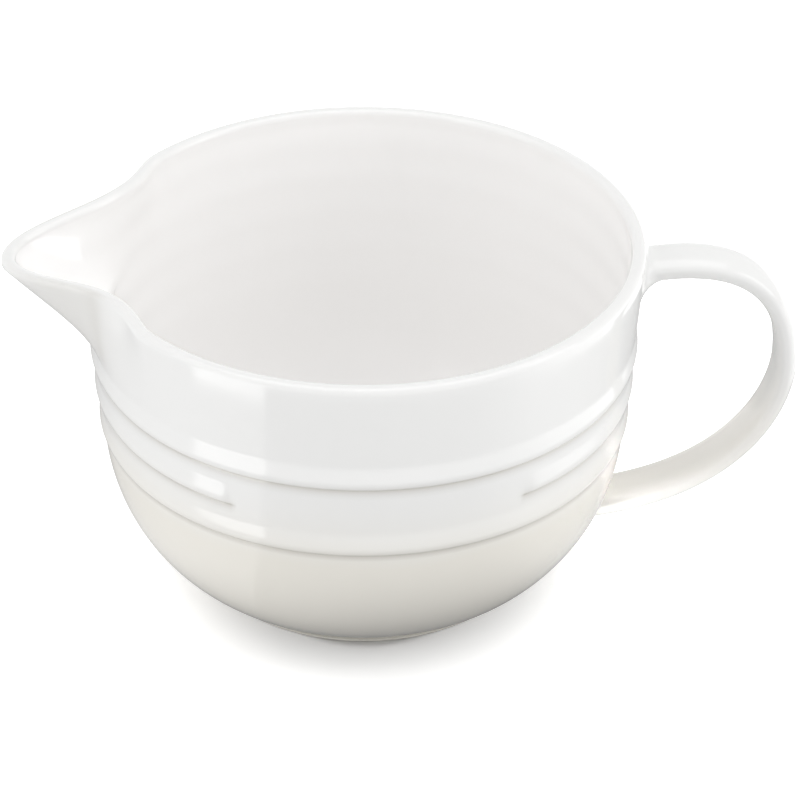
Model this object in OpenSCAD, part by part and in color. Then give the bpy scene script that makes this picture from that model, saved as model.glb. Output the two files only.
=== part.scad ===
// Batter bowl of glazed stoneware, with a pouring spout and a strap handle.
// Millimetres. The spout points to -X, the handle to +X and the foot stands on z = 0.

/* [Bowl] */
// Height of the rim above the surface the bowl stands on
bowl_h = 134.2; // [126:0.2:160]
// Outer radius at the rim
rim_r = 101.7; // [99:0.1:112]
// Thickness of the wall
wall_t = 5.2; // [4.2:0.1:6.4]
// Thickness of the floor
floor_t = 6.4; // [5:0.1:8]
// How far the wall leans out from its lowest ring to the rim
wall_lean = 5.1; // [2.7:0.1:8.7]
// Height at which the wall turns into the rounded bottom
low_wall_z = 60; // [52:0.5:61]
// Radius of the flat of the floor inside
floor_r = 38; // [25:1:48]

/* [Foot] */
// Outer radius of the foot ring
foot_r = 64.5; // [58:0.5:70]
// Width of the foot ring
foot_w = 6; // [4:0.5:9]
// Height of the foot ring
foot_h = 3; // [2:0.2:5]
// Rounding of the foot ring's edges
foot_edge = 0.9; // [0.3:0.1:1]
// Depth of the neck between the foot ring's bead and the bowl
foot_neck = 1.4; // [0.4:0.1:2]

/* [Rings] */
// Height of the lower edge of the lowest ring
ring_z = 64; // [62.5:0.1:65]
// Distance from one ring to the next
ring_pitch = 14.5; // [11:0.1:15]
// How far a ring stands out of the wall
ring_out = 1.2; // [0.4:0.1:1.8]
// Height over which a ring swells out
ring_h = 8.6; // [6:0.1:10]
// Angle over which the middle ring leaves the front panel bare
panel_angle = 62; // [30:1:90]
// How far the panel's middle is turned towards the handle
panel_turn = 1.7; // [-5:0.1:5]
// Depth of the ripples inside the wall
ripple_d = 0.3; // [0:0.05:0.6]

/* [Spout] */
// How far the spout's lip reaches beyond the rim
spout_reach = 29; // [20:0.1:36]
// Angle from the spout's middle to each of its sides
spout_side_angle = 23; // [18:0.5:30]
// Height at which the pulled section starts
spout_z = 95; // [94:0.1:97]
// Height at which the spout bends out of the wall
spout_bend_z = 102; // [98:0.1:106]
// How far the lip drops below the rim
spout_drop = 4.5; // [0:0.1:8]

/* [Handle] */
// Distance of the handle's outermost centre from the bowl's axis
handle_reach = 156; // [146:1:170]
// Height of that outermost point
handle_side_z = 80.5; // [75:0.5:86]
// Height of the handle's centre where it leaves the rim
handle_top_z = 121; // [117:0.5:123]
// Rise of the top run before it turns down
handle_crown = 8; // [3:0.5:9]
// Height at which the handle's centre line ends, inside the rounded bottom
handle_low_z = 17; // [14:0.5:20]
// Width of the strap at the top
handle_w = 19.4; // [15:0.2:23]
// Width of the strap at its lower end
handle_low_w = 21; // [17:0.5:26]
// Thickness of the strap
handle_t = 8.4; // [6:0.2:10]

/* [Handle joints] */
// Length of the slip joint under the rim, from the wall to the handle
upper_joint_l = 10; // [7:0.5:14]
// How far the upper joint spreads down the wall
upper_joint_spread = 6.5; // [3:0.5:8]
// Length of the lower slip joint, from the wall to the handle
lower_joint_l = 9; // [6:0.5:13]
// How far the lower joint spreads over the wall
lower_joint_spread = 2.5; // [1:0.5:4]

/* [Hidden] */

glaze_white = "#f1f0ed";
glaze_warm = "#eceae4";
bare_clay = "#d9cfba";

smooth = 96;          // facets of a full turn; the exact build keeps true circles
curve_steps = 18;     // points along the rounded bottom
rim_steps = 10;       // points over the rounded rim
rim_mid_r = rim_r - wall_t / 2;
low_wall_r = rim_r - wall_lean;
wall_top_z = bowl_h - wall_t / 2;
ring_top_z = ring_z + 2 * ring_pitch;

// Share of a ring's height, counted from its upper end, and share of its swelling there.
swell_shares = [[1.15, 0], [1.14, 0.23], [1.11, 0.45], [1.06, 0.66], [0.97, 0.86], [0.88, 0.96],
                [0.79, 0.97], [0.7, 0.87], [0.4, 0.45], [0.16, 0.12], [0.08, 0.03], [0, 0]];
// Control points of the rounded bottom: share of the way out, and share of the way up.
bottom_out_shares = [0.37, 0.955];
bottom_up_shares = [0.1, 0.44];
floor_out_shares = [0.69, 0.985];
floor_up_shares = [0.01, 0.34];
// The spout is full at its middle and runs out at its sides by this curve.
spout_round_share = 2.2;
spout_narrow_share = 2.65;
// The spout leaves the wall with a bend and then leans out evenly.
spout_lean_share = 0.85;

function bezier(p, t) = pow(1 - t, 3) * p[0] + 3 * pow(1 - t, 2) * t * p[1]
    + 3 * (1 - t) * t * t * p[2] + pow(t, 3) * p[3];
function bend(a, b, out_shares, up_shares) = [
    a,
    [a[0] + (b[0] - a[0]) * out_shares[0], a[1] + (b[1] - a[1]) * up_shares[0]],
    [a[0] + (b[0] - a[0]) * out_shares[1], a[1] + (b[1] - a[1]) * up_shares[1]],
    b];
function wall_r(z) = low_wall_r + (rim_r - low_wall_r) * (z - low_wall_z) / (wall_top_z - low_wall_z);

// One ring on the outside of the wall, from its sharp lower edge up.
function ring_points(z0) = [for (s = swell_shares)
    let(z = z0 + (1 - s[0]) * ring_h) [wall_r(z) + ring_out * s[1], z]];

// Outside of the wall from the foot up to the start of the rim.
bottom_curve = bend([foot_r - foot_edge, foot_h], [low_wall_r, low_wall_z],
    bottom_out_shares, bottom_up_shares);
outer_wall = concat(
    [for (i = [0 : curve_steps]) bezier(bottom_curve, i / curve_steps)],
    ring_points(ring_z),
    ring_points(ring_top_z),
    [[rim_r, wall_top_z]]);

// Inside of the wall from the start of the rim down to the floor.
function inner_r(z) = wall_r(z) - wall_t
    + ripple_d * pow(sin(180 * (z - ring_z) / ring_pitch), 2);
floor_curve = bend([floor_r, foot_h + floor_t], [inner_r(ring_z), ring_z],
    floor_out_shares, floor_up_shares);
ripple_steps = 18;
inner_wall = concat(
    [[rim_r - wall_t, wall_top_z]],
    [for (i = [ripple_steps : -1 : 1])
        let(z = ring_z + 3 * ring_pitch * i / ripple_steps) [inner_r(z), z]],
    [for (i = [curve_steps : -1 : 0]) bezier(floor_curve, i / curve_steps)],
    [[0, foot_h + floor_t]]);

// A cosine or sine drawn towards 1 makes a round section squarer.
function soft(v, corner_share) = sign(v) * pow(abs(v), corner_share);

// The rounded rim from its outside over to its inside, without its ends.
rim_corner_share = 0.75;
rim_arc = [for (i = [1 : rim_steps - 1]) let(a = 180 * i / rim_steps)
    [rim_mid_r + wall_t / 2 * soft(cos(a), rim_corner_share),
        wall_top_z + wall_t / 2 * soft(sin(a), rim_corner_share)]];

// The bowl as a solid without its hollow, for cutting what is luted to the wall.
module bowl_outside() {
    rotate_extrude($fn = smooth)
        polygon(concat([[0, foot_h]], outer_wall, rim_arc, [[0, wall_top_z]]));
}

// The sector of the rim that the spout takes the place of.
module spout_sector() {
    side = 2 * rim_r;
    translate([0, 0, spout_z])
        linear_extrude(height = bowl_h)
            polygon([[0, 0],
                side * [-cos(spout_side_angle), sin(spout_side_angle)],
                side * [-cos(spout_side_angle), -sin(spout_side_angle)]]);
}

// Middle ring: it runs round the back and stops at both ends of the front panel.
module middle_ring() {
    all_points = ring_points(ring_z + ring_pitch);
    last = len(all_points) - 1;
    face = [for (i = [1 : last - 1]) all_points[i]];
    root_r = low_wall_r - wall_t / 2;
    rotate([0, 0, panel_angle / 2 - 90 + panel_turn])
        rotate_extrude(angle = 360 - panel_angle, $fn = smooth)
            polygon(concat(face, [[root_r, face[last - 2][1]], [root_r, face[0][1]]]));
}

module bowl_body() {
    color(glaze_white)
        difference() {
            union() {
                rotate_extrude($fn = smooth)
                    polygon(concat([[0, foot_h]], outer_wall, rim_arc, inner_wall));
                middle_ring();
            }
            spout_sector();
        }
}

// Spout: the wall's own section, pushed out along -X and let down at the lip.
spout_turns = 44;     // sections across the spout
spout_levels = 12;    // levels up the spout's wall
function spout_out(a) = let(u = min(1, abs(a) / spout_side_angle))
    pow(1 - pow(u, spout_round_share), spout_narrow_share);
function spout_up(z) = z <= spout_bend_z ? 0
    : pow((z - spout_bend_z) / (wall_top_z - spout_bend_z), spout_lean_share);
function spout_shift(a, z) = spout_reach * spout_out(a) * spout_up(z);
// A leaning wall is wider along the level than across its own thickness.
step_z = wall_t / 10;
step_a = 0.5;
function lean_factor(a, z) = let(
        up = (spout_shift(a, z + step_z) - spout_shift(a, z)) / step_z,
        across = (spout_shift(a + step_a, z) - spout_shift(a - step_a, z))
            / (2 * sin(step_a) * 2 * (rim_r + spout_shift(a, z))) * 2)
    min(1.5, sqrt(1 + up * up + across * across));
outer_levels = [for (p = outer_wall) [p[1], p[0]]];
inner_levels = [for (i = [len(inner_wall) - 1 : -1 : 0]) [inner_wall[i][1], inner_wall[i][0]]];
level_zs = concat([spout_z], [for (i = [0 : spout_levels])
    spout_bend_z + (wall_top_z - spout_bend_z) * i / spout_levels]);
// Each point of the section: radius, height and share of the way through the wall.
spout_section = concat(
    [for (z = level_zs) [lookup(z, outer_levels), z, 0]],
    [for (p = rim_arc) [p[0], p[1], (rim_r - p[0]) / wall_t]],
    [for (i = [spout_levels + 1 : -1 : 0]) [lookup(level_zs[i], inner_levels), level_zs[i], 1]]);
function spout_point(a, p) = let(
        z = min(p[1], wall_top_z),
        r = p[0] + spout_shift(a, z) - p[2] * wall_t * (lean_factor(a, z) - 1))
    [-r * cos(a), -r * sin(a), p[1] - spout_drop * spout_out(a) * spout_up(z)];

// Skin over rows of points, every row a closed loop, with a flat cap at each end.
module loft(rows) {
    n = len(rows);
    m = len(rows[0]);
    pts = [for (row = rows) each row];
    sides = [for (i = [0 : n - 2]) for (j = [0 : m - 1])
        let(k = (j + 1) % m, a = i * m + j, b = i * m + k, c = (i + 1) * m + k, d = (i + 1) * m + j)
        each [[a, b, c], [a, c, d]]];
    polyhedron(pts, concat(sides,
        [[for (j = [m - 1 : -1 : 0]) j]],
        [[for (j = [0 : m - 1]) (n - 1) * m + j]]), convexity = 6);
}

module pour_spout() {
    color(glaze_white)
        loft([for (i = [0 : spout_turns])
            let(t = 2 * i / spout_turns - 1, a = spout_side_angle * sign(t) * pow(abs(t), 1.2))
            [for (p = spout_section) spout_point(a, p)]]);
}

// Foot ring: a bead on the ground, with a narrow neck above it.
foot_bead_share = 0.57;
foot_bead_h = foot_h * foot_bead_share;
module foot_ring() {
    color(bare_clay)
        rotate_extrude($fn = smooth)
            polygon([
                [foot_r - foot_w, foot_h],
                [foot_r - foot_w, foot_edge],
                [foot_r - foot_w + foot_edge, 0],
                [foot_r - foot_edge, 0],
                [foot_r, foot_edge],
                [foot_r - foot_neck / 4, foot_bead_h - foot_neck / 4],
                [foot_r - foot_neck, foot_bead_h],
                [foot_r - foot_neck, foot_h]]);
}

// Handle: a rounded strap along two curves that meet upright at its outermost point.
strap_steps = 40;     // sections along the strap
strap_sides = 24;     // points round a section
strap_outer_share = 0.9;   // rounded on the outer side
strap_inner_share = 0.62;  // flat with small corners on the inner side
top_turn_shares = [0.695, 0.773];
low_turn_shares = [0.31, 0.8, 0.05];
low_root_share = 0.08;
root_x = rim_mid_r;
low_root_x = foot_r + (handle_reach - foot_r) * low_root_share;
top_curve = [
    [root_x, handle_top_z],
    [root_x + (handle_reach - root_x) * top_turn_shares[0], handle_top_z + handle_crown],
    [handle_reach, handle_side_z + (handle_top_z - handle_side_z) * top_turn_shares[1]],
    [handle_reach, handle_side_z]];
low_curve = [
    [handle_reach, handle_side_z],
    [handle_reach, handle_side_z - (handle_side_z - handle_low_z) * low_turn_shares[0]],
    [low_root_x + (handle_reach - low_root_x) * low_turn_shares[1],
        handle_low_z + (handle_side_z - handle_low_z) * low_turn_shares[2]],
    [low_root_x, handle_low_z]];
function strap_at(t) = t < 1 ? bezier(top_curve, t) : bezier(low_curve, t - 1);
strap_nudge = 0.002;
function strap_dir(t) = let(
        d = strap_at(min(2, t + strap_nudge)) - strap_at(max(0, t - strap_nudge)))
    d / norm(d);
function strap_w(t) = handle_w + (handle_low_w - handle_w) * pow(max(0, t - 1), 2);

// Section of the strap: half width along Y, half thickness across the run,
// with its upper and lower halves spread apart by their own amounts.
function strap_section(t, wider, upper, lower) = let(c = strap_at(t), d = strap_dir(t))
    [for (j = [0 : strap_sides - 1]) let(
            a = 360 * j / strap_sides,
            corner_share = sin(a) > 0 ? strap_outer_share : strap_inner_share,
            spread = max(0, sin(a)) * upper + min(0, sin(a)) * lower,
            across = soft(sin(a), corner_share) * handle_t / 2 + spread,
            y = soft(cos(a), corner_share) * (strap_w(t) / 2 + wider))
        [c[0] - d[1] * across, y, c[1] + d[0] * across]];

// Where the strap ends and its slip joints begin, as shares of the two curves.
upper_seam_t = (upper_joint_l + wall_t / 2) / (3 * (handle_reach - root_x) * top_turn_shares[0]);
lower_seam_t = 2 - (lower_joint_l + 3 * wall_t) / (3 * norm(low_curve[3] - low_curve[2]));

module handle() {
    color(glaze_white)
        loft([for (i = [0 : strap_steps])
            strap_section(upper_seam_t + (lower_seam_t - upper_seam_t) * i / strap_steps, 0, 0, 0)]);
}

// Slip joints: the strap's end flows out over the wall in a soft fillet.
joint_steps = 8;
function flare(u) = pow(u, 2.2);

module upper_handle_joint() {
    color(glaze_warm)
        difference() {
            loft([for (i = [0 : joint_steps])
                let(u = 1 - i / joint_steps, f = flare(u))
                strap_section(upper_seam_t * (1 - u), f * upper_joint_spread,
                    f * (bowl_h - handle_top_z - handle_t / 2 - wall_t / 4), f * upper_joint_spread * 1.6)]);
            bowl_outside();
        }
}

module lower_handle_joint() {
    color(glaze_warm)
        difference() {
            loft([for (i = [0 : joint_steps])
                let(u = i / joint_steps, f = flare(u))
                strap_section(lower_seam_t + (2 - lower_seam_t) * u,
                    f * lower_joint_spread, f * lower_joint_spread, f * lower_joint_spread)]);
            bowl_outside();
        }
}

bowl_body();
pour_spout();
foot_ring();
upper_handle_joint();
handle();
lower_handle_joint();
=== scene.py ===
import bisect
import math

import bmesh
import bpy
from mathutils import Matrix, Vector


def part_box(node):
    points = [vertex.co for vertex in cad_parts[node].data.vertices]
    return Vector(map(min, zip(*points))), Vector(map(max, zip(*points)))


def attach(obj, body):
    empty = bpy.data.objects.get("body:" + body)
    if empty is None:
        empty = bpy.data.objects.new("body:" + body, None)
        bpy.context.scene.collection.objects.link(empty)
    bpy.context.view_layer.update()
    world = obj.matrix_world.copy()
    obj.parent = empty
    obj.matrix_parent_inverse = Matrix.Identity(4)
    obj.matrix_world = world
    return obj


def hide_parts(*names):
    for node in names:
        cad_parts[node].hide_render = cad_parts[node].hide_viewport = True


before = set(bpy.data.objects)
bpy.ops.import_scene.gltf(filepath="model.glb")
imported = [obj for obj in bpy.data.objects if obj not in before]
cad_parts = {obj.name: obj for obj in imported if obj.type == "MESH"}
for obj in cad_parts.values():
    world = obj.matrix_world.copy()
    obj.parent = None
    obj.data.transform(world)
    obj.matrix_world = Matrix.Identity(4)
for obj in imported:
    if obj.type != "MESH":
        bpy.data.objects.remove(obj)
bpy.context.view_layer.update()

MM = 0.001

# Camera
# The bowl was photographed with a long lens from 34 degrees above the table, square to the
# line from spout to handle but for a slight turn towards the spout. The picture was then
# cropped off centre, which is the shift.
camera_elevation = math.radians(33.7)
camera_turn = math.radians(1.7)
camera_distance = 1.199
camera_aim = Vector((0, 0, 0.05))
camera_lens = 144
camera_sensor = 36
picture_px = 800
aim_px = (363.9, 431.9)  # where the aim lies in the picture

camera = bpy.data.objects.new("camera", bpy.data.cameras.new("camera"))
bpy.context.scene.collection.objects.link(camera)
camera.data.lens = camera_lens
camera.data.sensor_width = camera_sensor
camera.data.shift_x = (picture_px / 2 - aim_px[0]) / picture_px
camera.data.shift_y = (aim_px[1] - picture_px / 2) / picture_px
away = Vector((-math.sin(camera_turn) * math.cos(camera_elevation),
               -math.cos(camera_turn) * math.cos(camera_elevation),
               math.sin(camera_elevation)))
camera.location = camera_aim + away * camera_distance
camera.rotation_euler = (math.pi / 2 - camera_elevation, 0, -camera_turn)
bpy.context.scene.camera = camera

# Bowl
# Wall, rounded bottom and floor are one body of cream stoneware, jiggered in a mould that
# carries the three rings, of which the middle one stops at a plain panel in front. The rim is
# rounded off while it is wet.
wall_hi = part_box("bowl_body")[1]
foot_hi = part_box("foot_ring")[1]
bowl_h = wall_hi.z
rim_r = wall_hi.y
foot_h = foot_hi.z
foot_r = foot_hi.x
wall_t = 5.2 * MM
wall_top_z = bowl_h - wall_t / 2
rim_mid_r = rim_r - wall_t / 2
rim_corner = 0.75          # under 1 the rim's round is drawn a little square
floor_t = 6.4 * MM
floor_z = foot_h + floor_t
floor_r = 38 * MM
wall_lean = 5.1 * MM
low_wall_r = rim_r - wall_lean
low_wall_z = 60 * MM
bottom_inset = 0.7 * MM    # the rounded bottom starts this far inside the foot's edge
bottom_low_share = Vector((0.37, 0.1))
bottom_high_share = Vector((0.955, 0.44))
floor_low_share = Vector((0.69, 0.01))
floor_high_share = Vector((0.985, 0.34))

ring_count = 3
panel_ring = 1             # the ring that the panel interrupts, counted from 0 at the bottom
ring_z = 64 * MM
ring_pitch = 14.5 * MM
ring_h = 8.6 * MM
ring_out = 1.2 * MM
ring_from, ring_to = -0.6, 1.05  # these and the next are shares of a ring's height
crease_v = -0.15
lip_h = 0.36               # height over which the lip swells out of the crease
fall_v = 0.13              # where the ring starts to run out towards the one above
fall_soft = 0.18           # how softly that starts and ends
groove_v = -0.18
groove_w = 0.045
groove_d = 0.14            # a share of ring_out
pool_and_shade_above = 0.08          # how far the crease is darkened on both sides: painted shade, with some pooled glaze
pool_and_shade_below = 0.15
panel_half_angle = math.radians(31)
panel_turn = math.radians(1.7)
panel_fade = math.radians(3)
ripple_d = 0.3 * MM

bottom_steps = 30
wall_steps = 9
rim_steps = 18
inside_steps = 30
floor_steps = 26
round_steps = 480
merge_d = 0.01 * MM
crowding = 0.55            # how far columns are drawn towards the spout, which needs them most


def clamp(v, lo=0.0, hi=1.0):
    return min(hi, max(lo, v))


def smooth(v):
    v = clamp(v)
    return v * v * (3 - 2 * v)


def drawn(v, share):
    """A cosine or sine drawn towards 1, which makes a round section squarer."""
    return math.copysign(abs(v) ** share, v)


def between(a, b, share):
    """A point between two others, at its own share of the way along each axis."""
    return Vector((a.x + (b.x - a.x) * share.x, a.y + (b.y - a.y) * share.y))


def bezier(p, t):
    s = 1 - t
    return p[0] * s**3 + p[1] * 3 * s * s * t + p[2] * 3 * s * t * t + p[3] * t**3


def wall_r(z):
    return low_wall_r + (rim_r - low_wall_r) * (z - low_wall_z) / (wall_top_z - low_wall_z)


def inner_r(z):
    return wall_r(z) - wall_t + ripple_d * math.sin(math.pi * (z - ring_z) / ring_pitch) ** 2


def ring_swell(v):
    """Swelling of a ring at the share v of its height: undercut below, running out above."""
    run = clamp((v - fall_v) / (1 - fall_v))
    if run < fall_soft:
        fall = 1 - run * run / (2 * fall_soft * (1 - fall_soft))
    elif run < 1 - fall_soft:
        fall = 1 - (run - fall_soft / 2) / (1 - fall_soft)
    else:
        fall = (1 - run) ** 2 / (2 * fall_soft * (1 - fall_soft))
    rise = math.sqrt(1 - (1 - clamp((v - crease_v) / lip_h)) ** 2)
    groove = groove_d * math.exp(-((v - groove_v) / groove_w) ** 2)
    return rise * fall - groove


foot_edge = Vector((foot_r, foot_h))
wall_start = Vector((low_wall_r, low_wall_z))
bottom_curve = (Vector((foot_r - bottom_inset, foot_h)),
                between(foot_edge, wall_start, bottom_low_share),
                between(foot_edge, wall_start, bottom_high_share),
                wall_start)
floor_edge = Vector((floor_r, floor_z))
inside_start = Vector((inner_r(ring_z), ring_z))
floor_curve = (floor_edge,
               between(floor_edge, inside_start, floor_low_share),
               between(floor_edge, inside_start, floor_high_share),
               inside_start)

# One half section of the bowl, from the middle of its underside round to the middle of its
# floor. Levels lie closest together at the crease under each ring.
ring_levels = (-0.32, -0.25, -0.21, -0.185, -0.165, -0.15, -0.147, -0.14, -0.125, -0.1, -0.07, -0.03,
               0.02, 0.08, 0.14, 0.2, 0.27, 0.35, 0.44, 0.54, 0.65, 0.77, 0.9, 1.02, 1.2)
section = [(foot_r * share, foot_h) for share in (0, 0.4, 0.8)]
section += [tuple(bezier(bottom_curve, i / bottom_steps)) for i in range(bottom_steps + 1)]
for ring in range(ring_count):
    section += [(wall_r(z), z) for z in
                (ring_z + ring * ring_pitch + v * ring_h for v in ring_levels)]
top_start_z = section[-1][1]
section += [(wall_r(z), z) for z in
            (top_start_z + (wall_top_z - top_start_z) * i / wall_steps
             for i in range(1, wall_steps + 1))]
rim_start = len(section)
section += [(rim_mid_r + wall_t / 2 * drawn(math.cos(a), rim_corner),
             wall_top_z + wall_t / 2 * drawn(math.sin(a), rim_corner))
            for a in (math.pi * i / rim_steps for i in range(1, rim_steps))]
rim_end = len(section)
section += [(inner_r(z) if z < wall_top_z else rim_r - wall_t, z) for z in
            (wall_top_z + (ring_z - wall_top_z) * i / inside_steps for i in range(inside_steps))]
section += [tuple(bezier(floor_curve, 1 - i / floor_steps)) for i in range(floor_steps + 1)]
section += [(floor_r * share, floor_z) for share in (0.67, 0.33, 0)]

# The mesh carries what the glaze needs to know: whether a point lies inside, where it is darkened by
# painted shade and some pooled glaze, and where the rim is darkened by painted shade.
bm = bmesh.new()
inside = bm.verts.layers.float.new("inside")
pooled_and_shaded = bm.verts.layers.float.new("pooled_and_shaded")
rim_shade = bm.verts.layers.float.new("rim_shade")
verts = [bm.verts.new((-r, 0, z)) for r, z in section]
for i, vert in enumerate(verts):
    over = clamp((i - rim_start) / (rim_end - rim_start))
    vert[inside] = over
    vert[rim_shade] = math.sin(math.pi * over)
edges = [bm.edges.new(pair) for pair in zip(verts, verts[1:])]
bmesh.ops.spin(bm, geom=verts + edges, cent=(0, 0, 0), axis=(0, 0, 1), angle=2 * math.pi,
               steps=round_steps, use_merge=True, use_duplicate=False)
bmesh.ops.remove_doubles(bm, verts=bm.verts, dist=merge_d)
bmesh.ops.recalc_face_normals(bm, faces=bm.faces)

for vert in bm.verts:
    x, y, z = vert.co
    r = math.hypot(x, y)
    turn = math.atan2(-y, -x)  # angle from the spout
    turn -= crowding * math.sin(turn)
    if vert[inside] == 0 and low_wall_z < z < wall_top_z:
        from_panel = abs(math.remainder(turn - math.pi / 2 - panel_turn, 2 * math.pi))
        for ring in range(ring_count):
            v = (z - ring_z - ring * ring_pitch) / ring_h
            if ring_from < v < ring_to:
                past_panel = (from_panel - panel_half_angle) / panel_fade if ring == panel_ring else 1
                r += ring_out * ring_swell(v) * smooth(past_panel)
                # the crease's painted shade and pooled glaze run on a little past the ring's end
                over_crease = v - crease_v
                vert[pooled_and_shaded] += smooth(2 * past_panel + 0.5) * math.exp(
                    -over_crease / pool_and_shade_above if over_crease > 0 else over_crease / pool_and_shade_below)
    vert.co = (-r * math.cos(turn), -r * math.sin(turn), z)

# Pouring spout
# The spout is the bowl's own rim: while the clay is soft it is pulled out between the fingers
# into a broad lip, which sinks a little and draws the rim in on both sides. Bowl and spout are
# one skin under one white glaze, so both are cut from it here.
spout_start_z = 95 * MM    # where the spout's own piece starts
spout_bend_z = 102 * MM    # where the rim starts to bend out
spout_reach = -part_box("pour_spout")[0].x - rim_r
spout_drop = 4.5 * MM
spout_draw = 3.1 * MM
spout_side = math.radians(40)           # how far the pull reaches on both sides of the lip
spout_piece_side = math.radians(23)     # and how far the spout's own piece does
spout_round_share = 2.1
spout_narrow_share = 9.3
spout_lean_share = 0.85
lean_limit = 1.5
# darkening of the outside under the spout's flank: painted shade, with some pooled glaze
flank_pool_and_shade = ((0.3, 14, 9), (0.17, 20, 2))  # strength, degrees from the lip, degrees wide


def spout_out(a):
    """Share of the reach at the angle a from the lip."""
    return (1 - clamp(abs(a) / spout_side) ** spout_round_share) ** spout_narrow_share


def spout_up(z):
    """Share of the reach at the height z."""
    return clamp((z - spout_bend_z) / (wall_top_z - spout_bend_z)) ** spout_lean_share


def spout_shift(a, z):
    """The rim is pulled out at the lip and drawn in beside it."""
    drawn_in = math.sin(math.pi * clamp(abs(a) / spout_side) ** 2) ** 2
    return spout_reach * spout_out(a) * spout_up(z) - spout_draw * drawn_in * spout_up(z) ** 2


def spout_lean(a, z):
    """How much wider the leaning wall is along the level than across its own thickness."""
    rise = wall_t / 10
    up = (spout_shift(a, z + rise) - spout_shift(a, z)) / rise
    step = math.radians(0.5)
    across = (spout_shift(a + step, z) - spout_shift(a - step, z)) / (
        2 * step * (rim_r + spout_shift(a, z)))
    return min(lean_limit, math.sqrt(1 + up * up + across * across))


for vert in bm.verts:
    x, y, z = vert.co
    turn = math.atan2(-y, -x)
    if z > spout_bend_z and abs(turn) < spout_side:
        r = math.hypot(x, y)
        level = min(z, wall_top_z)
        through = clamp((wall_r(level) - r) / wall_t)
        r += spout_shift(turn, level) - through * wall_t * (spout_lean(turn, level) - 1)
        z -= spout_drop * spout_out(turn) * spout_up(level)
        side = abs(math.degrees(turn))
        flank = sum(pool_and_shade * math.exp(-((side - at) / wide) ** 2) for pool_and_shade, at, wide in flank_pool_and_shade)
        # under the flank the outside is darkened from just above the bend: painted shade, with some
        # pooled glaze
        vert[pooled_and_shaded] += flank * smooth(4 * spout_up(level)) * smooth(1.5 - 3 * through)
        vert.co = (-r * math.cos(turn), -r * math.sin(turn), z)

bmesh.ops.recalc_face_normals(bm, faces=bm.faces)


def part_of(whole, name, belongs):
    """The faces of a mesh that belong to one piece, shaded as one skin with the rest."""
    whole.normal_update()
    part = whole.copy()
    bmesh.ops.delete(part, geom=[f for f in part.faces if not belongs(f.calc_center_median())],
                     context="FACES")
    skin = {v.co.copy().freeze(): v.normal.copy() for v in whole.verts}
    for face in part.faces:
        face.smooth = True
    mesh = bpy.data.meshes.new(name)
    part.to_mesh(mesh)
    part.free()
    mesh.normals_split_custom_set_from_vertices([skin[v.co.copy().freeze()] for v in mesh.vertices])
    piece = bpy.data.objects.new(name, mesh)
    bpy.context.scene.collection.objects.link(piece)
    return piece


def in_spout(point):
    """Whether a point lies in the sector of the rim that was pulled into the spout."""
    return point.z > spout_start_z and abs(math.atan2(-point.y, -point.x)) < spout_piece_side \
        and point.x < -low_wall_r / 2


bowl = part_of(bm, "glazed_bowl", lambda point: not in_spout(point))
spout = part_of(bm, "glazed_spout", in_spout)
bm.free()

# the rim's darker colour: painted shade on its upturned top
rim_shade_colour = "#eeeeed"
glaze_roughness = 0.07
glaze_ior = 1.5
cream_from_z = ring_z + 2 * ring_pitch
cream_full_z = ring_z - 5 * MM
cloud_w = 40 * MM          # width and depth of the cloudy patches, slow waves and orange peel
cloud_rise = 5 * MM
wave_w = 18 * MM
wave_d = 0.05 * MM
peel_w = 1.5 * MM
peel_d = 0.01 * MM


def srgb(hex_text):
    """Linear colour of an sRGB hex value."""
    parts = [int(hex_text[i:i + 2], 16) / 255 for i in (1, 3, 5)]
    return tuple(p / 12.92 if p <= 0.04045 else ((p + 0.055) / 1.055) ** 2.4 for p in parts) + (1.0,)


def add(tree, kind, settings=None, links=None):
    """One node, with its sockets set and linked by name."""
    node = tree.nodes.new(kind)
    for key, value in (settings or {}).items():
        if isinstance(key, str) and key.islower():
            setattr(node, key, value)
        else:
            node.inputs[key].default_value = value
    for key, source in (links or {}).items():
        tree.links.new(source, node.inputs[key])
    return node


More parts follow.
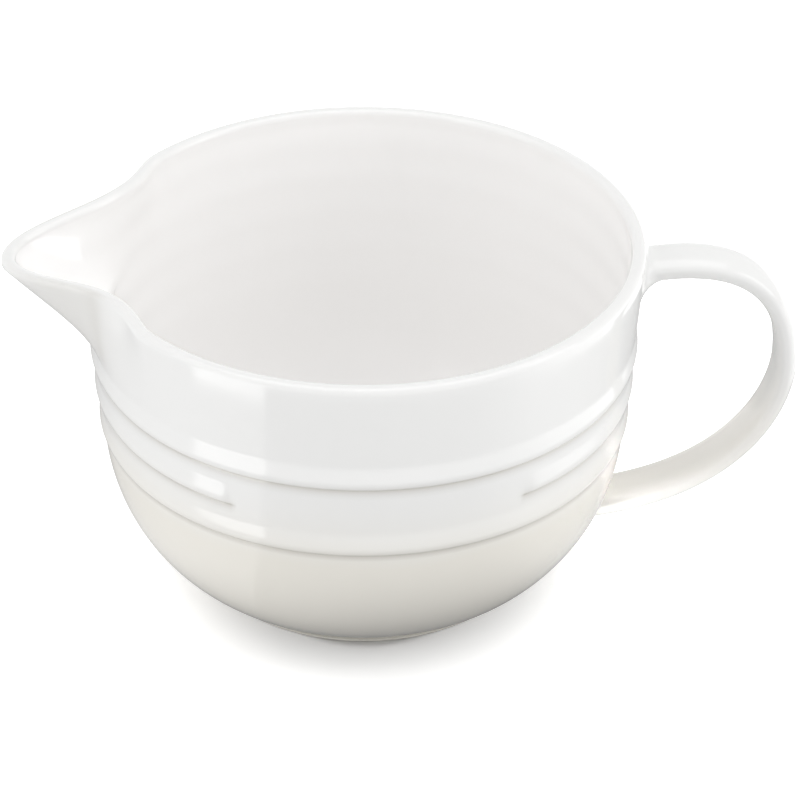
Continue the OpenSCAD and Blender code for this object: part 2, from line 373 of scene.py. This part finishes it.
def glaze(name, upper, lower, inner, pool_and_shade):
    """White stoneware glaze: a glassy coat over a cream body, warmer on the outside lower down."""
    mat = bpy.data.materials.new(name)
    mat.use_nodes = True
    tree = mat.node_tree
    shader = tree.nodes["Principled BSDF"]
    place = add(tree, "ShaderNodeTexCoord").outputs["Object"]
    height = add(tree, "ShaderNodeSeparateXYZ", links={"Vector": place}).outputs["Z"]
    # the glaze turns cream lower down, along an uneven and cloudy edge
    cloud = add(tree, "ShaderNodeTexNoise", {"Scale": 1 / cloud_w, "Detail": 2.0},
                {"Vector": place}).outputs["Fac"]
    level = add(tree, "ShaderNodeMath", {"operation": "MULTIPLY_ADD", 1: cloud_rise},
                {0: cloud, 2: height}).outputs["Value"]
    down = add(tree, "ShaderNodeMapRange", {"From Min": cream_from_z, "From Max": cream_full_z},
               {"Value": level}).outputs["Result"]
    down = add(tree, "ShaderNodeMath", {"operation": "POWER", 1: 2.0}, {0: down}).outputs["Value"]
    tint = add(tree, "ShaderNodeMix", {"data_type": "RGBA", 6: srgb(upper), 7: srgb(lower)},
               {0: down}).outputs[2]
    # the inside is painted lighter: painted light. The rim is painted darker: painted shade on its
    # upturned top. Creases and the spout's flank are darker: painted shade, with some pooled glaze.
    for attribute, colour in (("inside", inner), ("rim_shade", rim_shade_colour), ("pooled_and_shaded", pool_and_shade)):
        share = add(tree, "ShaderNodeAttribute", {"attribute_name": attribute}).outputs["Fac"]
        tint = add(tree, "ShaderNodeMix", {"data_type": "RGBA", 7: srgb(colour)},
                   {0: share, 6: tint}).outputs[2]
    tree.links.new(tint, shader.inputs["Base Color"])
    # the fired surface has a slow waviness and a fine orange peel, which soften its mirror
    wave = add(tree, "ShaderNodeTexNoise", {"Scale": 1 / wave_w, "Detail": 1.0},
               {"Vector": place}).outputs["Fac"]
    peel = add(tree, "ShaderNodeTexNoise", {"Scale": 1 / peel_w, "Detail": 1.0},
               {"Vector": place}).outputs["Fac"]
    slow = add(tree, "ShaderNodeBump", {"Strength": 0.5, "Distance": wave_d}, {"Height": wave})
    fine = add(tree, "ShaderNodeBump", {"Strength": 0.25, "Distance": peel_d},
               {"Height": peel, "Normal": slow.outputs["Normal"]})
    tree.links.new(fine.outputs["Normal"], shader.inputs["Normal"])
    shader.inputs["Roughness"].default_value = glaze_roughness
    shader.inputs["IOR"].default_value = glaze_ior
    return mat


# the inside's colour is lighter than the outside's: painted light
white_glaze = glaze("white_stoneware_glaze", upper="#f6f6f5", lower="#f2efe7", inner="#fcfbfa",
                    pool_and_shade="#cac6be")
bowl.data.materials.append(white_glaze)
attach(bowl, "root")
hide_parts("bowl_body")
spout.data.materials.append(white_glaze)
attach(spout, "root")
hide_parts("pour_spout")

# Handle
# A flat strap pulled from the same clay and bent to an ear. It is rounded on its outer side
# and flat, with small corners, inside, where the fingers go, and it widens a little downwards.
strap_t = 8.4 * MM
strap_w = 19.4 * MM
strap_low_w = 21 * MM
handle_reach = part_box("handle")[1].x - strap_t / 2
handle_top_z = 121 * MM
handle_side_z = 80.5 * MM
handle_low_z = 17 * MM
handle_crown = 8 * MM
low_root_share = 0.08
outer_corner = 0.9
inner_corner = 0.62
top_out_share = 0.695
top_fall_share = 0.773
low_fall_share = 0.31
low_run_share = Vector((0.8, 0.05))

strap_top = Vector((rim_mid_r, handle_top_z))
strap_side = Vector((handle_reach, handle_side_z))
strap_low = Vector((foot_r + (handle_reach - foot_r) * low_root_share, handle_low_z))
top_curve = (strap_top,
             Vector((strap_top.x + (strap_side.x - strap_top.x) * top_out_share,
                     handle_top_z + handle_crown)),
             Vector((handle_reach, handle_side_z + (handle_top_z - handle_side_z) * top_fall_share)),
             strap_side)
low_curve = (strap_side,
             Vector((handle_reach, handle_side_z - (handle_side_z - handle_low_z) * low_fall_share)),
             between(strap_low, strap_side, low_run_share),
             strap_low)


def strap_at(t):
    """Middle of the strap in the XZ plane, t from 0 under the rim to 2 at the bottom."""
    if t < 0:
        return top_curve[0] + (top_curve[1] - top_curve[0]) * 3 * t
    if t < 1:
        return bezier(top_curve, t)
    if t < 2:
        return bezier(low_curve, t - 1)
    return low_curve[3] + (low_curve[3] - low_curve[2]) * 3 * (t - 2)


def strap_run(t):
    """Direction in which the strap runs on at t, not yet of length 1."""
    nearby = 0.002
    return strap_at(t + nearby) - strap_at(t - nearby)


def strap_point(t, turn, out=0.0):
    """Skin of the strap at the angle turn round it, out from it by a further distance."""
    middle = strap_at(t)
    run = strap_run(t).normalized()
    side = Vector((-run.y, run.x))
    c, s = math.cos(turn), math.sin(turn)
    width = strap_w + (strap_low_w - strap_w) * clamp(t - 1) ** 2
    corner = outer_corner if s > 0 else inner_corner
    y = drawn(c, corner) * width / 2 + c * out
    across = drawn(s, corner) * strap_t / 2 + s * out
    return Vector((middle.x + side.x * across, y, middle.y + side.y * across))


# Handle roots
# Both ends of the strap are scored, wetted with slip and pressed onto the wall, under the rim
# and above the foot. The slip is smoothed with a wet finger into soft fillets, deepest under
# the upper root. Strap and roots are one skin under one glaze, so all three are cut from it.
side_fillet = 5 * MM
under_fillet = 9.5 * MM
low_fillet = 4 * MM
root_sink = 1.2 * MM       # how far a root goes on into the wall, out of sight
sunk_step = 1.2            # the step of that last ring, past the 1 where root and wall meet
straight_share = 0.4       # share of a root that still has the strap's own section
upper_seam, lower_seam = 0.11, 1.87     # places on the strap, as strap_at counts them
upper_end, lower_end = -0.12, 2.15
search_steps = 26
root_rings = 18
strap_rings = 90
strap_sides = 56
rings = root_rings + strap_rings + root_rings

level_count = 200
bottom_levels = [bezier(bottom_curve, i / level_count) for i in range(level_count + 1)]


def outer_r(z):
    """Radius of the bowl's outside at the height z."""
    if z > wall_top_z:
        rise = min(2 * (z - wall_top_z) / wall_t, 1) ** (1 / rim_corner)
        return rim_mid_r + wall_t / 2 * drawn(math.sqrt(1 - rise * rise), rim_corner)
    if z >= low_wall_z:
        return wall_r(z)
    above = max(1, bisect.bisect_left(bottom_levels, z, key=lambda level: level.y))
    a, b = bottom_levels[above - 1], bottom_levels[above]
    return a.x + (b.x - a.x) * (z - a.y) / (b.y - a.y)


def gap(point):
    """Distance from a point to the bowl's outside, below zero in the wall."""
    z = max(point.z, foot_h)
    step = 1 * MM
    slope = (outer_r(z + step / 2) - outer_r(z - step / 2)) / step if z < wall_top_z - step else 0
    return (math.hypot(point.x, point.y) - outer_r(z)) / math.sqrt(1 + slope * slope)


def root_point(step, turn, seam, end, fillet):
    """Skin of a luted root: step runs from 0 at the seam to 1 where it meets the wall."""
    start = gap(strap_point(seam, turn))
    if step > 1:
        distance, out = -root_sink, fillet
    elif step < straight_share:
        distance, out = start + (fillet - start) * step / straight_share, 0.0
    else:
        angle = math.pi / 2 * (step - straight_share) / (1 - straight_share)
        distance, out = fillet * (1 - math.sin(angle)), fillet * (1 - math.cos(angle))
    near, far = seam, end
    for _ in range(search_steps):
        mid = (near + far) / 2
        if gap(strap_point(mid, turn, out)) > distance:
            near = mid
        else:
            far = mid
    return strap_point(near, turn, out)


def root_step(ring):
    """How far along a root its ring lies, counted from the end that is sunk in the wall."""
    return sunk_step if ring == 0 else 1 - (ring - 1) / (root_rings - 1)


bm = bmesh.new()
bmesh.ops.create_grid(bm, x_segments=rings, y_segments=strap_sides, size=1)
for vert in bm.verts:
    ring = round((vert.co.x + 1) / 2 * rings)
    turn = math.pi * (vert.co.y + 1)
    if ring < root_rings:
        fillet = side_fillet + (under_fillet - side_fillet) * max(0, -math.sin(turn))
        vert.co = root_point(root_step(ring), turn, upper_seam, upper_end, fillet)
    elif ring > root_rings + strap_rings:
        vert.co = root_point(root_step(rings - ring), turn, lower_seam, lower_end, low_fillet)
    else:
        t = upper_seam + (lower_seam - upper_seam) * (ring - root_rings) / strap_rings
        vert.co = strap_point(t, turn)
bmesh.ops.remove_doubles(bm, verts=bm.verts, dist=merge_d)
bmesh.ops.recalc_face_normals(bm, faces=bm.faces)


def root_side(point, seam):
    """Whether a point lies on the wall's side of the section at a seam."""
    along = (Vector((point.x, point.z)) - strap_at(seam)).dot(strap_run(seam))
    return along * (1 - seam) < 0


def in_upper_root(point):
    return point.z > handle_side_z and root_side(point, upper_seam)


def in_lower_root(point):
    return point.z < handle_side_z and root_side(point, lower_seam)


# the handle's glaze is the bowl's, painted darker: painted shade, and lighter towards its lower end:
# painted light
handle_glaze = glaze("handle_glaze_painted_light_and_shade", upper="#ededec", lower="#f3f1ed", inner="#ededec",
                     pool_and_shade="#cdc9c1")
upper_joint = part_of(bm, "upper_root", in_upper_root)
lower_joint = part_of(bm, "lower_root", in_lower_root)
handle = part_of(bm, "strap_handle", lambda p: not in_upper_root(p) and not in_lower_root(p))
bm.free()
for piece, node, slot in ((handle, "handle", "handle_glaze"),
                          (upper_joint, "upper_handle_joint", "joint_glaze"),
                          (lower_joint, "lower_handle_joint", "joint_glaze")):
    piece.data.materials.append(handle_glaze)
    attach(piece, "root")
    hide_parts(node)

# Foot ring
# The ring that the bowl stands on is turned from the same clay, with a neck under the bowl. Its
# side is glazed with the bowl. Its underside is wiped before firing and ground level: bare,
# matt, cream stoneware with a fine sandy grain.
foot_inner_r = 58.5 * MM
foot_corner = 0.9 * MM
foot_softness = 0.25 * MM
bead_h = 0.57 * foot_h
neck_d = 1.4 * MM
bare_h = 0.5 * MM          # height of the bare edge above the ground face
wiped_w = 0.2 * MM         # height over which the glaze comes in above it
wiped_drift = 0.4 * MM     # unevenness of that wiped line
grain_w = 0.8 * MM
grain_d = 0.03 * MM
bare_roughness = 0.8
dark_grain, light_grain = "#d8cfbd", "#e6dfd0"
foot_glaze_colour = "#efece4"
neck_shade_colour = "#a9a397"
neck_fade = 0.3 * MM
foot_steps = 256

outline = [(foot_inner_r, foot_h), (foot_inner_r, foot_corner), (foot_inner_r + foot_corner, 0),
           (foot_r - foot_corner, 0), (foot_r, foot_corner),
           (foot_r - neck_d / 4, bead_h - neck_d / 4), (foot_r - neck_d, bead_h),
           (foot_r - neck_d, foot_h)]
bm = bmesh.new()
verts = [bm.verts.new((r, 0, z)) for r, z in outline]
edges = [bm.edges.new(pair) for pair in zip(verts, verts[1:] + verts[:1])]
bmesh.ops.spin(bm, geom=verts + edges, cent=(0, 0, 0), axis=(0, 0, 1), angle=2 * math.pi,
               steps=foot_steps, use_merge=True, use_duplicate=False)
bmesh.ops.recalc_face_normals(bm, faces=bm.faces)
for face in bm.faces:
    face.smooth = True
mesh = bpy.data.meshes.new("bare_foot_ring")
bm.to_mesh(mesh)
bm.free()
foot = bpy.data.objects.new("bare_foot_ring", mesh)
bpy.context.scene.collection.objects.link(foot)
bevel = foot.modifiers.new("soft_edges", "BEVEL")
bevel.width = foot_softness
bevel.segments = 3

clay = bpy.data.materials.new("glazed_side_and_bare_ground_face")
clay.use_nodes = True
tree = clay.node_tree
place = add(tree, "ShaderNodeTexCoord").outputs["Object"]
height = add(tree, "ShaderNodeSeparateXYZ", links={"Vector": place}).outputs["Z"]
grain = add(tree, "ShaderNodeTexNoise", {"Scale": 1 / grain_w, "Detail": 4.0},
            {"Vector": place}).outputs["Fac"]
wiped = add(tree, "ShaderNodeMath", {"operation": "MULTIPLY_ADD", 1: wiped_drift},
            {0: grain, 2: height}).outputs["Value"]
glazed = add(tree, "ShaderNodeMapRange", {"From Min": bare_h, "From Max": bare_h + wiped_w},
             {"Value": wiped}).outputs["Result"]
ramp = add(tree, "ShaderNodeValToRGB", links={"Fac": grain})
for stop, (at, colour) in zip(ramp.color_ramp.elements, ((0.35, dark_grain), (0.65, light_grain))):
    stop.position = at
    stop.color = srgb(colour)
tint = add(tree, "ShaderNodeMix", {"data_type": "RGBA", 7: srgb(foot_glaze_colour)},
           {0: glazed, 6: ramp.outputs["Color"]}).outputs[2]
# painted shade: the neck, a recess in shadow under the bowl, is coloured dark
neck = add(tree, "ShaderNodeMapRange", {"From Min": bead_h, "From Max": bead_h + neck_fade},
           {"Value": height}).outputs["Result"]
tint = add(tree, "ShaderNodeMix", {"data_type": "RGBA", 7: srgb(neck_shade_colour)},
           {0: neck, 6: tint}).outputs[2]
gloss = add(tree, "ShaderNodeMapRange", {"To Min": bare_roughness, "To Max": glaze_roughness},
            {"Value": glazed}).outputs["Result"]
bump = add(tree, "ShaderNodeBump", {"Strength": 0.6, "Distance": grain_d}, {"Height": grain})
shader = tree.nodes["Principled BSDF"]
tree.links.new(tint, shader.inputs["Base Color"])
tree.links.new(gloss, shader.inputs["Roughness"])
tree.links.new(bump.outputs["Normal"], shader.inputs["Normal"])
foot.data.materials.append(clay)
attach(foot, "root")
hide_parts("foot_ring")

# Studio floor
# White paper, which a painted glow lifts to white round a soft contact shadow. In the glaze the floor
# shows painted reflections of what would stand on it in a studio: white cards left and right with a
# grey gap between them, and farther out two brighter soft boxes.
floor_half = 4
paper_white = 0.93
shadow_size = (0.082, 0.1)      # half axes of the shadow's ellipse
shadow_middle = (0, -0.1)       # in half axes from the bowl's axis
shadow_lift = ((0.55, 0.0), (0.58, 0.22), (0.7, 0.31), (1.0, 0.55))  # half axes out, light added
bounce_shadow_size = (0.085, 0.13)      # half axes of the painted shadow in the floor's bounce colour under the bowl
bounce_shadow_middle = (0.25, -0.3)
bounce_shadow_edge = (0.6, 1.15)        # from here to here, in half axes, it turns white
bounce_shadow_greys = (0.27, 0.85)
# bearings run from the front, with the handle's side above zero
# painted reflections: the cards, gap, sweep and soft boxes below are glows on the floor that only the
# glaze sees
painted_left_card = (math.radians(-34), math.radians(-36))
painted_right_card = (math.radians(32), math.radians(58))
painted_card_end = (math.radians(65), math.radians(115))
painted_card_end_glow = 0.4
painted_gap_glow = 0.25                 # glow of the grey gap, a painted reflection
painted_card_glow = 0.68                # what a card adds to it
near_middle = (0, -0.03, 0)     # in metres, as all edges from here on
near_edge = (0.05, 0.105)       # where the painted cards start, out from that middle
painted_sweep_edge = (0.2, 0.34)        # where the painted sweep behind them comes up to white
painted_left_box_end = (math.radians(-64), math.radians(-60))
right_box = (math.radians(45), math.radians(70))
painted_right_box_glow = 0.45
painted_box_edge = (0.235, 0.25)        # where the painted soft boxes start
painted_box_glow = 2.2

bm = bmesh.new()
bmesh.ops.create_grid(bm, x_segments=1, y_segments=1, size=floor_half)
mesh = bpy.data.meshes.new("floor")
bm.to_mesh(mesh)
bm.free()
floor = bpy.data.objects.new("floor", mesh)
bpy.context.scene.collection.objects.link(floor)
paper = bpy.data.materials.new("white_paper")
paper.use_nodes = True
tree = paper.node_tree
tree.nodes.clear()
place = add(tree, "ShaderNodeTexCoord").outputs["Object"]

# what the camera sees: white paper that lightens away from the contact shadow
around = add(tree, "ShaderNodeVectorMath",
             {"operation": "MULTIPLY_ADD", 1: (1 / shadow_size[0], 1 / shadow_size[1], 0),
              2: (-shadow_middle[0], -shadow_middle[1], 0)}, {0: place}).outputs["Vector"]
around = add(tree, "ShaderNodeVectorMath", {"operation": "LENGTH"}, {0: around}).outputs["Value"]
lift = add(tree, "ShaderNodeValToRGB", links={"Fac": around})
while len(lift.color_ramp.elements) < len(shadow_lift):
    lift.color_ramp.elements.new(0.5)
for stop, (at, light) in zip(lift.color_ramp.elements, shadow_lift):
    stop.position = at
    stop.color = (light, light, light, 1)
sheet = add(tree, "ShaderNodeBsdfDiffuse", {"Color": (paper_white, paper_white, paper_white, 1)})
glow = add(tree, "ShaderNodeEmission", links={"Strength": lift.outputs["Color"]})
seen = add(tree, "ShaderNodeAddShader",
           links={0: sheet.outputs["BSDF"], 1: glow.outputs["Emission"]}).outputs["Shader"]

# what lights the bowl from below: the floor's bounce colour, painted grey under the front of the bowl,
# a painted shadow standing in for the bowl's own shadow
off = add(tree, "ShaderNodeVectorMath",
          {"operation": "MULTIPLY_ADD", 1: (1 / bounce_shadow_size[0], 1 / bounce_shadow_size[1], 0),
           2: (-bounce_shadow_middle[0], -bounce_shadow_middle[1], 0)}, {0: place}).outputs["Vector"]
off = add(tree, "ShaderNodeVectorMath", {"operation": "LENGTH"}, {0: off}).outputs["Value"]
grey = add(tree, "ShaderNodeMapRange",
           {"interpolation_type": "SMOOTHSTEP", "From Min": bounce_shadow_edge[0], "From Max": bounce_shadow_edge[1],
            "To Min": bounce_shadow_greys[0], "To Max": bounce_shadow_greys[1]}, {"Value": off}).outputs["Result"]
lit = add(tree, "ShaderNodeBsdfDiffuse", links={"Color": grey}).outputs["BSDF"]

# painted reflection, seen by the glaze only: the cards, which end beside the bowl, so its outline
# stays darker
flat = add(tree, "ShaderNodeSeparateXYZ", links={"Vector": place})
ahead = add(tree, "ShaderNodeMath", {"operation": "MULTIPLY", 1: -1.0},
            {0: flat.outputs["Y"]}).outputs["Value"]
bearing = add(tree, "ShaderNodeMath", {"operation": "ARCTAN2"},
              {0: flat.outputs["X"], 1: ahead}).outputs["Value"]
left = add(tree, "ShaderNodeMapRange", {"From Min": painted_left_card[0], "From Max": painted_left_card[1]},
           {"Value": bearing}).outputs["Result"]
right = add(tree, "ShaderNodeMapRange", {"From Min": painted_right_card[0], "From Max": painted_right_card[1]},
            {"Value": bearing}).outputs["Result"]
painted_cards = add(tree, "ShaderNodeMath", {"operation": "MAXIMUM"}, {0: left, 1: right}).outputs["Value"]
aside = add(tree, "ShaderNodeMath", {"operation": "ABSOLUTE"}, {0: bearing}).outputs["Value"]
aside = add(tree, "ShaderNodeMapRange",
            {"From Min": painted_card_end[0], "From Max": painted_card_end[1], "To Min": 1.0,
             "To Max": painted_card_end_glow}, {"Value": aside}).outputs["Result"]
painted_cards = add(tree, "ShaderNodeMath", {"operation": "MULTIPLY"}, {0: painted_cards, 1: aside}).outputs["Value"]

# painted reflection: the cards start a little way off the bowl, and behind them a painted sweep is
# white all round
near = add(tree, "ShaderNodeVectorMath", {"operation": "SUBTRACT", 1: near_middle}, {0: place})
near = add(tree, "ShaderNodeVectorMath", {"operation": "LENGTH"},
           {0: near.outputs["Vector"]}).outputs["Value"]
near = add(tree, "ShaderNodeMapRange",
           {"interpolation_type": "SMOOTHSTEP", "From Min": near_edge[0], "From Max": near_edge[1],
            "To Max": painted_card_glow}, {"Value": near}).outputs["Result"]
paper_glow = add(tree, "ShaderNodeMath", {"operation": "MULTIPLY_ADD", 2: painted_gap_glow},
                 {0: painted_cards, 1: near}).outputs["Value"]
way = add(tree, "ShaderNodeVectorMath", {"operation": "LENGTH"}, {0: place}).outputs["Value"]
painted_sweep = add(tree, "ShaderNodeMapRange",
            {"interpolation_type": "SMOOTHSTEP", "From Min": painted_sweep_edge[0],
             "From Max": painted_sweep_edge[1]}, {"Value": way}).outputs["Result"]
paper_glow = add(tree, "ShaderNodeMath", {"operation": "MAXIMUM"},
                 {0: paper_glow, 1: painted_sweep}).outputs["Value"]

# painted reflection: the two soft boxes lie so far out that only the lips of the rings mirror them
left_box = add(tree, "ShaderNodeMapRange",
               {"From Min": painted_left_box_end[0], "From Max": painted_left_box_end[1]},
               {"Value": bearing}).outputs["Result"]
left_box = add(tree, "ShaderNodeMath", {"operation": "MULTIPLY"},
               {0: left, 1: left_box}).outputs["Value"]
painted_right_box = add(tree, "ShaderNodeMapRange",
                  {"From Min": right_box[0], "From Max": right_box[1], "To Max": painted_right_box_glow},
                  {"Value": bearing}).outputs["Result"]
painted_boxes = add(tree, "ShaderNodeMath", {"operation": "MAXIMUM"},
            {0: left_box, 1: painted_right_box}).outputs["Value"]
far_out = add(tree, "ShaderNodeMapRange",
              {"interpolation_type": "SMOOTHSTEP", "From Min": painted_box_edge[0], "From Max": painted_box_edge[1]},
              {"Value": way}).outputs["Result"]
painted_boxes = add(tree, "ShaderNodeMath", {"operation": "MULTIPLY"}, {0: painted_boxes, 1: far_out}).outputs["Value"]
painted_reflections = add(tree, "ShaderNodeMath", {"operation": "MULTIPLY_ADD", 1: painted_box_glow},
               {0: painted_boxes, 2: paper_glow}).outputs["Value"]
painted_reflections = add(tree, "ShaderNodeEmission", links={"Strength": painted_reflections}).outputs["Emission"]

ray = add(tree, "ShaderNodeLightPath")
by_glaze = add(tree, "ShaderNodeMixShader",
               links={0: ray.outputs["Is Glossy Ray"], 1: lit, 2: painted_reflections}).outputs["Shader"]
by_camera = add(tree, "ShaderNodeMixShader",
                links={0: ray.outputs["Is Camera Ray"], 1: by_glaze, 2: seen}).outputs["Shader"]
add(tree, "ShaderNodeOutputMaterial", links={"Surface": by_camera})
floor.data.materials.append(paper)

# Studio light
# Soft boxes left, right and above, and a small narrow one that picks out the lower end of the
# handle. The room behind them is white low down and dimmer overhead.
bowl_middle = (0, 0, 0.05)
handle_end = (0.095, -0.01, 0.027)
strip_spread = math.radians(4)
room_low, room_high = 1.0, 0.35    # strength level with the bowl and straight overhead


def soft_box(name, place, aim, size, watts):
    lamp = bpy.data.lights.new(name, "AREA")
    lamp.shape = "RECTANGLE"
    lamp.size, lamp.size_y = size
    lamp.energy = watts
    box = bpy.data.objects.new(name, lamp)
    bpy.context.scene.collection.objects.link(box)
    box.location = place
    box.rotation_euler = (Vector(aim) - Vector(place)).to_track_quat("-Z", "Y").to_euler()
    return box


soft_box("left_box", (-1.6, -0.9, 0.8), bowl_middle, (1.2, 1.4), 5)
soft_box("right_box", (1.7, -0.5, 1.0), bowl_middle, (0.8, 1.4), 7.5)
soft_box("top_box", (0, 0, 2.0), bowl_middle, (2.4, 1.8), 19)
strip = soft_box("handle_strip", (0.55, -1.0, 0.3), handle_end, (0.04, 0.06), 0.006)
strip.data.spread = strip_spread

world = bpy.data.worlds.new("studio")
bpy.context.scene.world = world
world.use_nodes = True
tree = world.node_tree
sky = tree.nodes["Background"]
sky.inputs["Color"].default_value = (1, 1, 1, 1)
towards = add(tree, "ShaderNodeTexCoord").outputs["Generated"]
up = add(tree, "ShaderNodeSeparateXYZ", links={"Vector": towards}).outputs["Z"]
strength = add(tree, "ShaderNodeMapRange", {"To Min": room_low, "To Max": room_high},
               {"Value": up}).outputs["Result"]
ray = add(tree, "ShaderNodeLightPath")
shown = add(tree, "ShaderNodeMath", {"operation": "MAXIMUM"},
            {0: strength, 1: ray.outputs["Is Camera Ray"]}).outputs["Value"]
tree.links.new(shown, sky.inputs["Strength"])
bpy.context.scene.view_settings.view_transform = "Standard"
